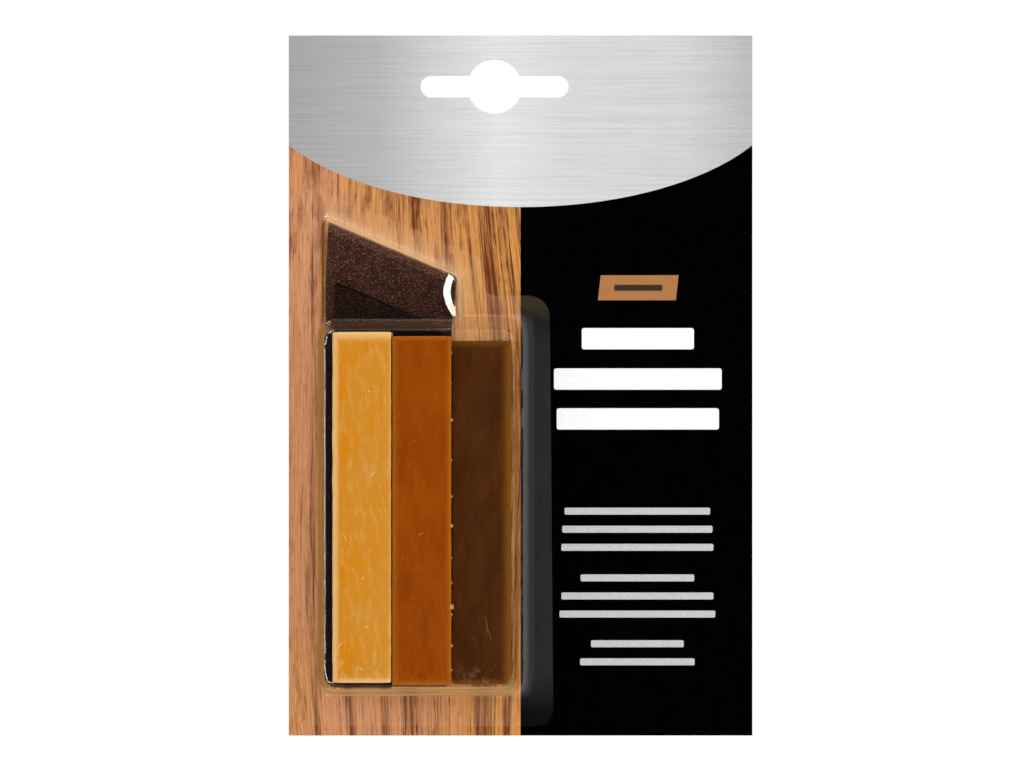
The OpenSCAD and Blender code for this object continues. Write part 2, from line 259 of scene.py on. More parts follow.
def black_ink():
    """Right side: a solid black print under matt varnish, with a breath of unevenness."""
    material, tree, shader, place = new_material("matt_black_print", Specular_IOR_Level=0.008)
    mottle = add(tree, "TexNoise", {"Vector": place, "Scale": 0.35, "Detail": 4})
    tone = add(tree, "ValToRGB", {"Fac": mottle}, stops=[(0.35, "#000000"), (0.7, "#020202")])
    tree.links.new(tone.outputs[0], shader.inputs["Base Color"])
    rough = add(tree, "MapRange", {"Value": mottle, "To Min": 0.48, "To Max": 0.62})
    tree.links.new(rough.outputs[0], shader.inputs["Roughness"])
    return material


def plain_print(name, low, high):
    """A printed tone on paper board: even, with the faint speckle of the print's screen."""
    material, tree, shader, place = new_material(name, Roughness=0.5, Specular_IOR_Level=0.2)
    # Speckles 0.5 mm wide, coarser than a real screen so that they show
    speckle = add(tree, "TexNoise", {"Vector": place, "Scale": 2, "Detail": 3, "Roughness": 0.6})
    tone = add(tree, "ValToRGB", {"Fac": speckle}, stops=[(0.3, low), (0.7, high)])
    tree.links.new(tone.outputs[0], shader.inputs["Base Color"])
    return material


def paper_board(name, low, high):
    """Uncoated paper board: matt, with cloudy fibres and a fine tooth."""
    material, tree, shader, place = new_material(name, Roughness=0.85, Specular_IOR_Level=0.25)
    # Fibres 0.4 mm wide and 1.7 mm long, coarser than real ones so that they show
    fibres = add(tree, "TexNoise", {
        "Vector": add(tree, "Mapping", {"Vector": place, "Scale": (0.6, 3, 2.4)}),
        "Scale": 1, "Detail": 5, "Roughness": 0.65})
    clouds = add(tree, "TexNoise", {"Vector": place, "Scale": 0.12, "Detail": 2})
    both = add(tree, "Math", {0: fibres, 1: 0.6, 2: clouds}, operation="MULTIPLY_ADD")
    tone = add(tree, "ValToRGB", {"Fac": both}, stops=[(0.55, low), (1, high)])
    tree.links.new(tone.outputs[0], shader.inputs["Base Color"])
    bump = add(tree, "Bump", {"Height": fibres, "Strength": 0.15, "Distance": 0.0001})
    tree.links.new(bump.outputs[0], shader.inputs["Normal"])
    return material


def wax(name, low, high, body, deep, edge, edge_glow_width, edge_glow_share, gloss, scuffs, slant=0.0, bloom=0.0):
    """A cast wax stick: soft and slightly see-through, with dull rubbed patches. Its thin edges are paler,
    where a painted glow stands in for light shining through them. The pale edge has a width and a share for
    the left, the right, the foot and the top."""
    material, tree, shader, place = new_material(
        name, Roughness=gloss, Subsurface_Weight=0.3, Subsurface_Radius=(1.0, 0.45, 0.15),
        Subsurface_Scale=0.0012, Specular_IOR_Level=0.03)
    spot = add(tree, "SeparateXYZ", {"Vector": place})
    # Painted light: the tone turns pale towards each edge, for light shining through the thin wax
    near = None
    walls = (("X", low.x, 1), ("X", high.x, -1), ("Z", low.z, 1), ("Z", high.z, -1))
    for (axis, wall, sign), width, share in zip(walls, edge_glow_width, edge_glow_share):
        one = add(tree, "MapRange", {
            "Value": spot.outputs[axis], "From Min": wall, "From Max": wall + sign * width,
            "To Min": share, "To Max": 0}, interpolation_type="SMOOTHSTEP")
        near = one if near is None else add(tree, "Math", {0: near, 1: one}, operation="MAXIMUM")
    # Cloudy casting marks 4.5 mm across and 14 mm long. A slant gives the right more of the body's tone and
    # the left more of the deep one
    clouds = add(tree, "Mapping", {
        "Vector": place, "Location": (low.x, 0, low.z), "Scale": (0.22, 0.22, 0.07)})
    clouds = add(tree, "TexNoise", {"Vector": clouds, "Scale": 1, "Detail": 4, "Roughness": 0.6})
    aside = add(tree, "MapRange", {
        "Value": spot.outputs["X"], "From Min": low.x, "From Max": high.x, "To Min": -slant, "To Max": slant})
    clouds = add(tree, "Math", {0: clouds, 1: aside}, operation="ADD")
    inner = add(tree, "ValToRGB", {"Fac": clouds}, stops=[(0.32, deep), (0.62, body)])
    colour = add(tree, "Mix", {0: near, 6: inner, 7: linear(edge)}, data_type="RGBA")
    # Rubbed patches 1 to 2 mm across, more of them at the foot
    rubs = add(tree, "TexNoise", {
        "Vector": add(tree, "Mapping", {"Vector": place, "Scale": (0.7, 0.7, 0.2)}),
        "Scale": 1, "Detail": 6, "Roughness": 0.7})
    worn = add(tree, "MapRange", {"Value": rubs, "From Min": 0.5, "From Max": 0.78, "To Max": scuffs})
    foot = add(tree, "MapRange", {
        "Value": spot.outputs["Z"], "From Min": low.z + 5, "From Max": low.z + 1, "To Min": 1, "To Max": 2.5})
    worn = add(tree, "Math", {0: worn, 1: foot}, operation="MULTIPLY", use_clamp=True)
    colour = add(tree, "Mix", {0: worn, 6: colour.outputs[2], 7: linear(edge)}, data_type="RGBA")
    # A pale bloom in patches 2 mm across on the lowest 4 mm
    pale = add(tree, "TexNoise", {"Vector": place, "Scale": 0.45, "Detail": 5, "Roughness": 0.7})
    pale = add(tree, "MapRange", {"Value": pale, "From Min": 0.5, "From Max": 0.66, "To Max": bloom})
    low_part = add(tree, "MapRange", {
        "Value": spot.outputs["Z"], "From Min": low.z + 4.5, "From Max": low.z + 2})
    pale = add(tree, "Math", {0: pale, 1: low_part}, operation="MULTIPLY")
    colour = add(tree, "Mix", {0: pale, 6: colour.outputs[2], 7: linear("#A5886A")}, data_type="RGBA")
    # Specks 0.3 mm wide, a few to the square centimetre
    specks = add(tree, "TexVoronoi", {"Vector": place, "Scale": 0.33, "Randomness": 1})
    dot = add(tree, "MapRange", {"Value": specks.outputs["Distance"], "From Min": 0.045, "From Max": 0.075,
                                 "To Min": 0.6, "To Max": 0})
    colour = add(tree, "Mix", {0: dot, 6: colour.outputs[2], 7: linear(edge)}, data_type="RGBA")
    tree.links.new(colour.outputs[2], shader.inputs["Base Color"])
    bump = add(tree, "Bump", {"Height": rubs, "Strength": 0.25, "Distance": 0.0002})
    tree.links.new(bump.outputs[0], shader.inputs["Normal"])
    return material


def wax_shaving(name, low, high):
    """Scraped-off wax: paler and duller than the stick, since it is thin and rough."""
    material, tree, shader, place = new_material(
        name, Roughness=0.7, Specular_IOR_Level=0.2, Subsurface_Weight=0.3, Subsurface_Scale=0.0005)
    clots = add(tree, "TexNoise", {"Vector": place, "Scale": 2.5, "Detail": 3})
    tone = add(tree, "ValToRGB", {"Fac": clots}, stops=[(0.35, low), (0.65, high)])
    tree.links.new(tone.outputs[0], shader.inputs["Base Color"])
    return material


def scraper_plastic():
    """Scraper: moulded dark brown polystyrene with fine metal flakes, satin."""
    material, tree, shader, place = new_material(
        "flaked_brown_polystyrene", Roughness=0.36, Specular_IOR_Level=0.04)
    # Flakes 0.2 mm wide, coarser than real ones so that they show. Their pale tone is partly the flakes'
    # own colour and partly a painted glint
    flakes = add(tree, "TexVoronoi", {"Vector": place, "Scale": 5, "Randomness": 1})
    lit = add(tree, "SeparateColor", {"Color": flakes.outputs["Color"]})
    one_in = add(tree, "MapRange", {"Value": lit.outputs["Red"], "From Min": 0.6, "From Max": 1.0})
    small = add(tree, "MapRange", {
        "Value": flakes.outputs["Distance"], "From Min": 0.15, "From Max": 0.45, "To Min": 0.9, "To Max": 0})
    flake_tone_and_glint = add(tree, "Math", {0: one_in, 1: small}, operation="MULTIPLY")
    flow = add(tree, "TexNoise", {"Vector": place, "Scale": 0.25, "Detail": 3})
    base = add(tree, "ValToRGB", {"Fac": flow}, stops=[(0.3, "#2E170E"), (0.7, "#3C2015")])
    colour = add(tree, "Mix", {0: flake_tone_and_glint, 6: base, 7: linear("#C8A48C")}, data_type="RGBA")
    # Painted shade: darker in the recess, darkest on its downward step. Painted light: lighter towards
    # the blade, whose bevel is the lightest. The handle below the sticks' tops is half as bright
    spot = add(tree, "SeparateXYZ", {"Vector": place})
    turned = add(tree, "SeparateXYZ", {"Vector": add(tree, "NewGeometry").outputs["True Normal"]})
    front, handle_top, head_top = scraper_low.y, light_high.z, scraper_high.z
    sunk, under, blade, handle, painted_light_by_height = [
        add(tree, "MapRange", {
            "Value": value, "From Min": start, "From Max": stop, "To Min": low, "To Max": high})
        for value, start, stop, low, high in (
            (spot.outputs["Y"], front + 0.05, front + 0.6, 1, 0.3),
            (turned.outputs["Z"], -0.6, -0.2, 0.1, 1),
            (turned.outputs["Z"], 0.1, 0.3, 0, 1.25),
            (spot.outputs["Z"], handle_top, handle_top + 0.4, 0.5, 1),
            (spot.outputs["Z"], handle_top + 2, head_top - 2, 0.6, 1.2))]
    shade = sunk
    for other, operation in (
            (under, "MULTIPLY"), (blade, "MAXIMUM"), (handle, "MULTIPLY"), (painted_light_by_height, "MULTIPLY")):
        shade = add(tree, "Math", {0: shade, 1: other}, operation=operation)
    colour = add(tree, "VectorMath", {0: colour.outputs[2], "Scale": shade}, operation="SCALE")
    tree.links.new(colour.outputs[0], shader.inputs["Base Color"])
    bump = add(tree, "Bump", {"Height": lit.outputs["Green"], "Strength": 0.08, "Distance": 0.0001})
    tree.links.new(bump.outputs[0], shader.inputs["Normal"])
    return material


def clear_pet():
    """Blister: clear vacuum-formed PET sheet, glossy. It adds its reflections to what is behind it, and a
    faint warm painted glow of gathered light round the head pocket. Its walls, seen edge on, tint what is
    behind them and take on painted tones of the light round them, as the photographed ones do."""
    material, tree, shader, place = new_material(
        "clear_pet_sheet", Base_Color=linear("#FFFFFF"), Metallic=1.0, Roughness=0.03)
    spot = add(tree, "SeparateXYZ", {"Vector": place})
    x, z = spot.outputs["X"], spot.outputs["Z"]
    # Ripples 6 mm long from the forming
    ripple = add(tree, "TexNoise", {"Vector": place, "Scale": 0.16, "Detail": 2})
    bump = add(tree, "Bump", {"Height": ripple, "Strength": 0.1, "Distance": 0.0003})
    tree.links.new(bump.outputs[0], shader.inputs["Normal"])
    # Each face mirrors as much from its inner side as from its outer one, as the two faces of a thin sheet do
    pet_ior, most_mirror = 1.5, 0.09
    side = add(tree, "NewGeometry")
    inner = side.outputs["Backfacing"]
    index = add(tree, "Math", {0: inner, 1: 1 / pet_ior - pet_ior, 2: pet_ior}, operation="MULTIPLY_ADD")
    mirror = add(tree, "Fresnel", {"IOR": index, "Normal": bump})
    mirror = add(tree, "Math", {0: mirror, 1: most_mirror}, operation="MINIMUM")
    # The mirror is weakened on the left wall, so that it glints only faintly there
    rubbed = add(tree, "MapRange", {
        "Value": x, "From Min": HEAD_LEFT + 0.05, "From Max": HEAD_LEFT + 0.45, "To Min": 0.05, "To Max": 1})
    mirror = add(tree, "Math", {0: mirror, 1: rubbed}, operation="MULTIPLY")
    facing = add(tree, "LayerWeight", {"Blend": 0.5}).outputs["Facing"]
    tint = add(tree, "ValToRGB", {"Fac": facing}, stops=[
        (0.3, "#FFFFFF"), (0.86, "#F3EDE2"), (0.98, "#CFC9BE")])
    clear = add(tree, "BsdfTransparent", {"Color": tint})
    sheet = add(tree, "AddShader", {0: clear, 1: add(tree, "MixShader", {0: mirror, 2: shader})})

    # Painted tones for light the walls bend and gather, only on the sheet's outer face, each with its share
    painted_tones = []
    edge_on = add(tree, "MapRange", {"Value": facing, "From Min": 0.5, "From Max": 0.75},
                  interpolation_type="SMOOTHSTEP")
    outer = add(tree, "Math", {0: 1, 1: inner}, operation="SUBTRACT")
    turned = add(tree, "SeparateXYZ", {"Vector": side.outputs["Normal"]})
    # Draw lines run along the walls, 1 mm apart
    lines = add(tree, "TexNoise", {
        "Vector": add(tree, "Mapping", {"Vector": place, "Scale": (0.05, 0.9, 0.05)}),
        "Scale": 1, "Detail": 3, "Roughness": 0.6})
    lines = add(tree, "MapRange", {
        "Value": lines, "From Min": 0.35, "From Max": 0.65, "To Min": 0.6, "To Max": 1.3})
    # Under the light stick the lower wall stays clear for 0.9 mm, so that the scraper's foot shows through
    below, aside = [
        add(tree, "MapRange", {"Value": value, "From Min": none, "From Max": full})
        for value, none, full in (
            (z, POCKET_LOW - 0.6, POCKET_LOW - 0.9), (x, light_high.x - 0.1, light_high.x + 0.1))]
    below = add(tree, "Math", {0: below, 1: aside}, operation="MAXIMUM")
    # Painted light from the wax and the print: khaki on the walls that face left, beige on those that face
    # down, and a painted brown gleam on those that face up
    for axis, full, most, code, where in (
            ("X", -0.8, 0.62, "#CB9853", 1), ("Z", -0.8, 0.68, "#DDB074", below),
            ("Z", 0.8, 0.07, "#E8A880", 1)):
        share = add(tree, "MapRange", {
            "Value": turned.outputs[axis], "From Min": full * 0.4, "From Max": full, "To Max": most})
        for other in (edge_on, outer, lines, where):
            share = add(tree, "Math", {0: share, 1: other}, operation="MULTIPLY")
        painted_tones.append((share, code))
    # Painted light: a pale haze lies on the stick pocket's upper wall and above the dark stick, right of
    # the scraper
    flat = add(tree, "MapRange", {"Value": turned.outputs["Y"], "From Min": -0.8, "From Max": -0.95})
    flat = add(tree, "Math", {0: flat, 1: edge_on}, operation="MAXIMUM")
    haze = add(tree, "Math", {0: outer, 1: flat}, operation="MULTIPLY")
    for value, none, full in (
            (x, scraper_high.x - 1.2, scraper_high.x - 0.8), (x, POCKET_RIGHT + 1.4, POCKET_RIGHT - 0.2),
            (z, dark_high.z - 0.1, dark_high.z + 0.3), (z, POCKET_HIGH + 3.2, POCKET_HIGH + 2.4)):
        part = add(tree, "MapRange", {"Value": value, "From Min": none, "From Max": full})
        haze = add(tree, "Math", {0: haze, 1: part}, operation="MULTIPLY")
    haze = add(tree, "Math", {0: haze, 1: 0.17}, operation="MULTIPLY")
    painted_tones.append((haze, "#F2C494"))
    # The head pocket's left wall gathers a painted dark olive tone, for the scraper seen bent through it
    flank, ends, under, beside_head = [
        add(tree, "MapRange", {"Value": value, "From Min": none, "From Max": full, "To Max": most})
        for value, none, full, most in (
            (x, HEAD_LEFT + 0.75, HEAD_LEFT + 0.4, 0.85), (x, HEAD_LEFT - 0.55, HEAD_LEFT - 0.25, 1),
            (z, HEAD_TOP + 0.4, HEAD_TOP - 0.6, 1), (z, POCKET_HIGH + 1, POCKET_HIGH + 2.5, 1))]
    for part in (ends, under, beside_head, outer):
        flank = add(tree, "Math", {0: flank, 1: part}, operation="MULTIPLY")
    painted_tones.append((flank, "#7E5118"))
    # A painted cream glow of gathered light spreads 4 mm round the head pocket's top and right and lies
    # faintly on the blade
    past = add(tree, "Math", {0: x, 1: BLADE_SLOPE * BLADE_COS}, operation="MULTIPLY")
    past = add(tree, "Math", {0: z, 1: BLADE_COS, 2: past}, operation="MULTIPLY_ADD")
    past = add(tree, "Math", {0: past, 1: blade_line(0, HEAD_TOP) * BLADE_COS}, operation="SUBTRACT")
    beside = add(tree, "Math", {0: x, 1: HEAD_RIGHT}, operation="SUBTRACT")
    out = add(tree, "Math", {0: past, 1: beside, 2: 1.5}, operation="SMOOTH_MAX")
    spread, start, left, low = [
        add(tree, "MapRange", {"Value": value, "From Min": none, "From Max": full},
            interpolation_type="SMOOTHSTEP")
        for value, none, full in (
            (out, 4.6, 0), (out, -0.3, 0.2),
            (x, HEAD_LEFT - 1.5, HEAD_LEFT + 1), (z, POCKET_HIGH, POCKET_HIGH + 6))]
    rim = add(tree, "MapRange", {"Value": out, "From Min": 0.4, "From Max": 1.9, "To Min": 1.5, "To Max": 0},
              interpolation_type="SMOOTHSTEP")
    rim = add(tree, "Math", {0: rim, 1: edge_on}, operation="MULTIPLY")
    spread = add(tree, "Math", {0: spread, 1: rim}, operation="ADD")
    glow = add(tree, "Math", {0: spread, 1: start}, operation="MULTIPLY")
    inside = add(tree, "MapRange", {"Value": past, "From Min": -2.5, "From Max": 0, "To Max": 0.12})
    glow = add(tree, "Math", {0: glow, 1: inside}, operation="MAXIMUM")
    for part in (left, low, outer, 0.31):
        glow = add(tree, "Math", {0: glow, 1: part}, operation="MULTIPLY")
    painted_tones.append((glow, "#EFCC9A"))

    for share, code in painted_tones:
        tone = add(tree, "BsdfDiffuse", {"Color": linear(code), "Normal": (0, -1, 0)})
        sheet = add(tree, "MixShader", {0: share, 1: sheet, 2: tone})
    show(tree, sheet)
    return material


def seal_lacquer():
    """Heat-seal lacquer under the flange: a thin milky film, grey on the black print and pinkish on the wood
    print."""
    material, tree, shader, place = new_material("milky_seal_lacquer", Roughness=0.4, Specular_IOR_Level=0.2)
    cloud = add(tree, "TexNoise", {"Vector": place, "Scale": 0.09, "Detail": 3})
    spot = add(tree, "SeparateXYZ", {"Vector": place})
    # On black it is thinner near the flange's lower edge and beside the head pocket
    grey = add(tree, "MapRange", {"Value": cloud, "To Min": 0.020, "To Max": 0.034})
    for start, stop in ((seal_low.z + 3, seal_low.z + 13), (POCKET_HIGH + 8, POCKET_HIGH - 6)):
        part = add(tree, "MapRange", {
            "Value": spot.outputs["Z"], "From Min": start, "From Max": stop, "To Min": 0.15})
        grey = add(tree, "Math", {0: grey, 1: part}, operation="MULTIPLY")
    pink = add(tree, "MapRange", {
        "Value": cloud, "From Min": 0.3, "From Max": 0.7, "To Min": 0.08, "To Max": 0.18})
    on_wood = add(tree, "Math", {0: spot.outputs["X"], 1: wood_high.x}, operation="LESS_THAN")
    veil = add(tree, "Mix", {0: on_wood, 2: grey, 3: pink})
    tone = add(tree, "Mix", {0: on_wood, 6: linear("#F2F2F2"), 7: linear("#DCA680")}, data_type="RGBA")
    tree.links.new(veil.outputs[0], shader.inputs["Alpha"])
    tree.links.new(tone.outputs[2], shader.inputs["Base Color"])
    return material


def let_light_through(obj):
    """A clear film casts no shadow and dims no soft light."""
    obj.visible_shadow = False
    obj.visible_diffuse = False


# Shaping helpers

def new_object(name, data):
    """An object in the scene, made round its mesh, lamp or camera."""
    obj = bpy.data.objects.new(name, data)
    bpy.context.scene.collection.objects.link(obj)
    return obj


def mesh_object(name, bm, smooth=False):
    """Turns a bmesh into an object."""
    mesh = bpy.data.meshes.new(name)
    for face in bm.faces:
        face.smooth = smooth
    bm.to_mesh(mesh)
    bm.free()
    return new_object(name, mesh)


def make_piece(name, bm, body, replaced=None, smooth=True):
    """Turns a bmesh in millimetres into a piece that rides on a body."""
    bmesh.ops.scale(bm, vec=(MM, MM, MM), verts=bm.verts)
    obj = mesh_object(name, bm, smooth)
    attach(obj, body)
    if replaced:
        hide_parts(replaced)
    return obj


def cut(bm, point, normal, where=None):
    """Cuts the faces whose middle passes the test with one plane."""
    faces = [f for f in bm.faces if where is None or where(f.calc_center_median())]
    edges = {e for f in faces for e in f.edges}
    verts = {v for f in faces for v in f.verts}
    geom = list(verts) + list(edges) + faces
    bmesh.ops.bisect_plane(bm, geom=geom, plane_co=point, plane_no=normal, dist=1e-5)


def cut_upright(bm, places, where=None):
    """Cuts the faces along upright lines at the given x places."""
    for x in places:
        cut(bm, (x, 0, 0), (1, 0, 0), where)


def cut_level(bm, places, where=None):
    """Cuts the faces along level lines at the given heights."""
    for z in places:
        cut(bm, (0, 0, z), (0, 0, 1), where)


def add_box(bm, middle, size):
    """Adds a box and gives back its corners."""
    made = bmesh.ops.create_cube(bm, size=1)["verts"]
    bmesh.ops.scale(bm, vec=size, verts=made)
    bmesh.ops.translate(bm, vec=middle, verts=made)
    return made


def turn_forward(bm):
    """Lets the faces of an open sheet point to the front, which is -Y."""
    if sum(f.normal.y for f in bm.faces) > 0:
        bmesh.ops.reverse_faces(bm, faces=bm.faces)


def span(edge, axis):
    """How far apart an edge's two ends are along one axis."""
    return abs(edge.verts[0].co[axis] - edge.verts[1].co[axis])


def steps(start, stop, step):
    """Even steps of about the given size, with both ends."""
    count = max(1, round(abs(stop - start) / step))
    return [start + (stop - start) * i / count for i in range(count + 1)]


def wander(point, size, seed):
    """A smooth random number from -1 to 1 that changes over the given size in mm."""
    return noise.noise(Vector(point) / size + Vector((seed, seed * 0.7, seed * 1.3)))


# The clear blister

def wall_height(out, rise, wall, fillet, bend):
    """Height of a formed wall at a distance outwards from the pocket's front edge: bend, slope, fillet."""
    half = math.atan2(rise, wall) / 2
    top, foot = bend * math.tan(half), fillet * math.tan(half)
    lean = math.cos(2 * half)
    if out < -top:
        return rise
    if out < top * lean:
        return rise - bend + math.sqrt(max(0, bend * bend - (out + top) ** 2))
    if out < wall - foot * lean:
        return rise * (1 - out / wall)
    if out < wall + foot:
        return fillet - math.sqrt(max(0, fillet * fillet - (wall + foot - out) ** 2))
    return 0


def stick_pocket_height(x, z):
    """Height of the stick pocket over the flange. Its walls flare out in a rounded rectangle that grows."""
    right = x > (POCKET_LEFT + POCKET_RIGHT) / 2
    over_x = x - POCKET_RIGHT if right else POCKET_LEFT - x
    over_z = max(z - POCKET_HIGH, POCKET_LOW - z)
    # Ways from the middle of the corner's round at the front, and how far that middle moves towards the foot
    way_x, way_z = over_x + CORNER_R, over_z + CORNER_R
    move_x, move_z = SPREAD[0] - CORNER_GROWTH, SPREAD[1] - CORNER_GROWTH
    share = max(over_x / SPREAD[0], over_z / SPREAD[1])
    if way_x > move_x * share and way_z > move_z * share:
        # In a corner the share of the way to the foot solves a quadratic: the round that has grown that much
        # runs through the point
        lead = move_x * move_x + move_z * move_z - CORNER_GROWTH ** 2
        half = way_x * move_x + way_z * move_z + CORNER_R * CORNER_GROWTH
        rest = way_x * way_x + way_z * way_z - CORNER_R ** 2
        share = (half - math.sqrt(max(0, half * half - lead * rest))) / lead
        left_x, left_z = max(0, way_x - move_x * share), max(0, way_z - move_z * share)
        side = left_x * left_x / max(1e-9, left_x * left_x + left_z * left_z)
    else:
        side = 1.0 if over_x / SPREAD[0] > over_z / SPREAD[1] else 0.0
    wall_x, fillet_x = WALLS["right" if right else "left"]
    wall_z, fillet_z = WALLS["top" if z > (POCKET_LOW + POCKET_HIGH) / 2 else "bottom"]
    out = share * (SPREAD[0] * side + SPREAD[1] * (1 - side))
    return wall_height(out, POCKET_RISE, wall_x * side + wall_z * (1 - side),
                       fillet_x + (fillet_z - fillet_x) * (1 - side) ** 3, BEND_R)


def head_pocket_height(x, z):
    """Height of the head pocket over the flange, with its dome."""
    past_side = max(x - HEAD_RIGHT, HEAD_LEFT - x)
    past_blade = (z - blade_line(x, HEAD_TOP)) * BLADE_COS
    way_side, way_blade = past_side + HEAD_CORNER_R, past_blade + HEAD_CORNER_R
    if way_side > 0 and way_blade > 0:
        out = math.hypot(way_side, way_blade) - HEAD_CORNER_R
        side = way_side * way_side / (way_side * way_side + way_blade * way_blade)
    else:
        out = max(past_side, past_blade)
        side = 1.0 if past_side > past_blade else 0.0
    out = max(out, HEAD_LOW - z)
    foot_r = HEAD_FOOT_R + HEAD_FOOT_GROWTH * (1 - side) ** 6
    height = wall_height(out, HEAD_RISE, HEAD_WALL, foot_r, HEAD_BEND_R)
    from_dome = math.hypot(x - DOME_X, z - DOME_Z) - DOME_R
    dome = wall_height(from_dome, DOME_RISE, DOME_WALL, DOME_BEND_R, DOME_BEND_R)
    return height + dome * (height / HEAD_RISE) ** 2


def formed_height(x, z):
    """The higher of the two pockets, with a soft crease between them."""
    sticks, head = stick_pocket_height(x, z), head_pocket_height(x, z)
    soft = CREASE * min(1, min(sticks, head) / CREASE_FADE)
    overlap = max(0, soft - abs(sticks - head)) / soft if soft > 0 else 0
    return max(sticks, head) + overlap ** 2 * soft / 4


def blister():
    """The formed sheet: the flange's outline, cut finely where it bends and then raised to its height."""
    bm = bmesh.new()
    # Flange outline from the CAD seal's corners, each given its radius
    foot_left, foot_right = seal_low.x, seal_high.x
    left_top, right_top = foot_left + 1.8, foot_right - 0.8
    step_x, hollow_z = scraper_high.x + EDGE_BESIDE_HEAD, POCKET_HIGH + EDGE_OVER_POCKET
    highest, left_high, step_high = [
        blade_line(x, HEAD_TOP) + EDGE_OVER_BLADE for x in (foot_left, left_top, step_x)]
    corners = [((foot_left, seal_low.z), 3.9), ((left_top, left_high), 2.5), ((step_x, step_high), 2.9),
               ((step_x, hollow_z), 2.7), ((right_top, hollow_z), 4.7), ((foot_right, seal_low.z), 3.6)]
    verts = [bm.verts.new((x, 0, z)) for (x, z), _ in corners]
    bm.faces.new(verts)
    bm.normal_update()
    for vert, (_, radius) in zip(verts, corners):
        one, other = [(e.other_vert(vert).co - vert.co).normalized() for e in vert.link_edges]
        # The bevel's offset runs along the edges
        offset = radius / math.tan(one.angle(other) / 2)
        bmesh.ops.bevel(bm, geom=[vert], offset=offset, offset_type="OFFSET", affect="VERTICES",
                        segments=10, profile=0.5, material=-1)

    def upper(place):
        return place.z > HEAD_LOW - 2

    def near_head(place):
        return upper(place) and place.x < HEAD_RIGHT + 4

    def near_dome(place):
        return upper(place) and DOME_X - DOME_R - 2.5 < place.x < HEAD_RIGHT + 1

    # The stick pocket's bends and walls get lines 0.05 to 0.22 mm apart, what is flat gets some 1 mm
    cut_upright(bm, steps(foot_left, POCKET_LEFT - 4, 0.9) + steps(POCKET_LEFT - 4, POCKET_LEFT + 1, 0.2)
                + steps(POCKET_LEFT - 3, POCKET_LEFT - 2.5, 0.05)
                + steps(POCKET_LEFT + 1.8, POCKET_RIGHT - 1, 0.9)
                + steps(POCKET_RIGHT - 1, POCKET_RIGHT + 5.4, 0.22)
                + steps(POCKET_RIGHT + 5.9, foot_right, 0.6))
    cut_level(bm, steps(seal_low.z, POCKET_LOW - 4.8, 0.8) + steps(POCKET_LOW - 4.4, POCKET_LOW + 1, 0.22)
              + steps(POCKET_LOW + 2, POCKET_HIGH - 1, 1.2) + steps(POCKET_HIGH - 1, POCKET_HIGH + 4.4, 0.18)
              + steps(POCKET_HIGH + 4.8, highest, 0.5))
    # The head pocket's walls, its dome and its edge along the blade
    cut_upright(bm, steps(HEAD_LEFT - 1.7, HEAD_LEFT + 0.8, 0.11)
                + steps(HEAD_RIGHT - 5, HEAD_RIGHT - 0.7, 0.2)
                + steps(HEAD_RIGHT - 0.6, HEAD_RIGHT + 1.9, 0.11), upper)
    cut_level(bm, steps(HEAD_LOW, DOME_Z + DOME_R, 0.16), near_dome)
    for out in steps(-0.7, 4.1, 0.14):
        cut(bm, (BLADE_X, 0, HEAD_TOP + out / BLADE_COS), (BLADE_SLOPE, 0, 1), near_head)
    bmesh.ops.dissolve_degenerate(bm, dist=0.01, edges=bm.edges)
    for vert in bm.verts:
        x, z = vert.co.x, vert.co.z
        height = formed_height(x, z)
        # The pockets sink by up to 0.04 mm in waves some 9 mm long
        sag = 0.02 * (1 + wander((x, 0, z), 9, 3)) * min(1, height / 2)
        vert.co.y = -(FLANGE_Y + height - sag)
    bmesh.ops.recalc_face_normals(bm, faces=bm.faces)
    turn_forward(bm)
    for edge in bm.edges:
        edge.smooth = not edge.is_boundary
    piece = make_piece("formed_blister", bm, "blister", "blister_shell")
    wall = piece.modifiers.new("sheet", "SOLIDIFY")
    wall.thickness = SHEET * MM
    wall.offset = -1
    wall.use_even_offset = False
    dress(piece, clear_pet())
    let_light_through(piece)


# The wax sticks

def wax_stick(name, low, high, left_r, right_r, body, material, seed):
    """A cast stick with a radius for its left and its right upright edges, worn there and slightly wavy."""
    bm = bmesh.new()
    add_box(bm, (high + low) / 2, high - low)
    middle = (low.x + high.x) / 2
    for side, radius in ((-1, left_r), (1, right_r)):
        upright = [e for e in bm.edges if span(e, 2) > 1
                   and all((v.co.x - middle) * side > 0 for v in e.verts)]
        bmesh.ops.bevel(bm, geom=upright, offset=radius, affect="EDGES", segments=4, profile=0.5, material=-1)
    # The edges round both ends are only slightly rounded
    ends = [e for e in bm.edges if span(e, 2) < 1e-4]
    bmesh.ops.bevel(bm, geom=ends, offset=0.22, affect="EDGES", segments=2, profile=0.5, material=-1)
    cut_level(bm, steps(low.z + 0.6, high.z - 0.6, 0.7))
    cut_upright(bm, steps(low.x + 1.4, high.x - 1.4, 1.1))
    bm.normal_update()
    for vert in bm.verts:
        # Dents 0.16 mm deep and 2.2 mm long at the sides, shallower and longer ones between them
        at_side = min(vert.co.x - low.x, high.x - vert.co.x) < 1
        deepest, size = (0.16, 2.2) if at_side else (0.05, 7)
        vert.co -= vert.normal * deepest * max(0, 0.5 + 0.5 * wander(vert.co, size, seed))
    piece = make_piece(name, bm, body, body)
    dress(piece, material)
    # The sticks are not mirrored in the sheet, so that its glints run on past their ends
    piece.visible_glossy = False


